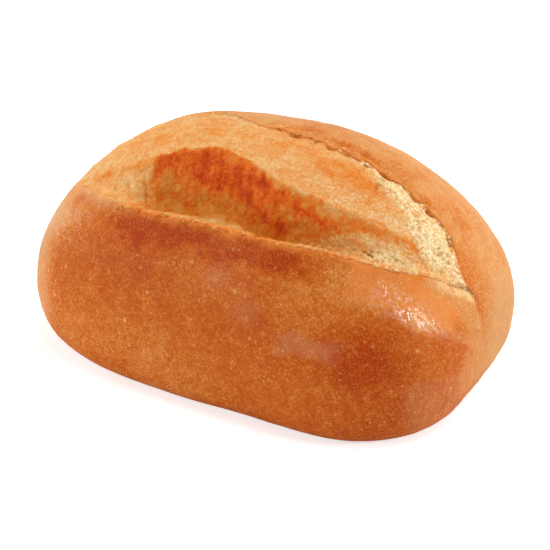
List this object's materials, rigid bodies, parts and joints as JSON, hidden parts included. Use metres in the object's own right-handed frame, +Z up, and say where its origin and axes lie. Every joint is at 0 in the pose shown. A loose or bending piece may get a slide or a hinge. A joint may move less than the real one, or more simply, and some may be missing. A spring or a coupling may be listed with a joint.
{
  "type": "bread roll",
  "caption": "Oval crusty bread roll with one long cut along its top that has torn open in baking, and a flat base.",
  "frame": {"origin": "under the middle of the roll's box, on its flat base", "axes": "+X along the roll towards its wider end, +Z up, -Y towards the side with the tear's steep face"},
  "size_m": [0.1048, 0.0732, 0.0539],
  "materials": {
    "crust": "baked bread crust, satin with small pale blisters, with pale rough crumb in the tear"
  },
  "bodies": {
    "root": {"bread_roll": "crust"}
  },
  "joints": []
}
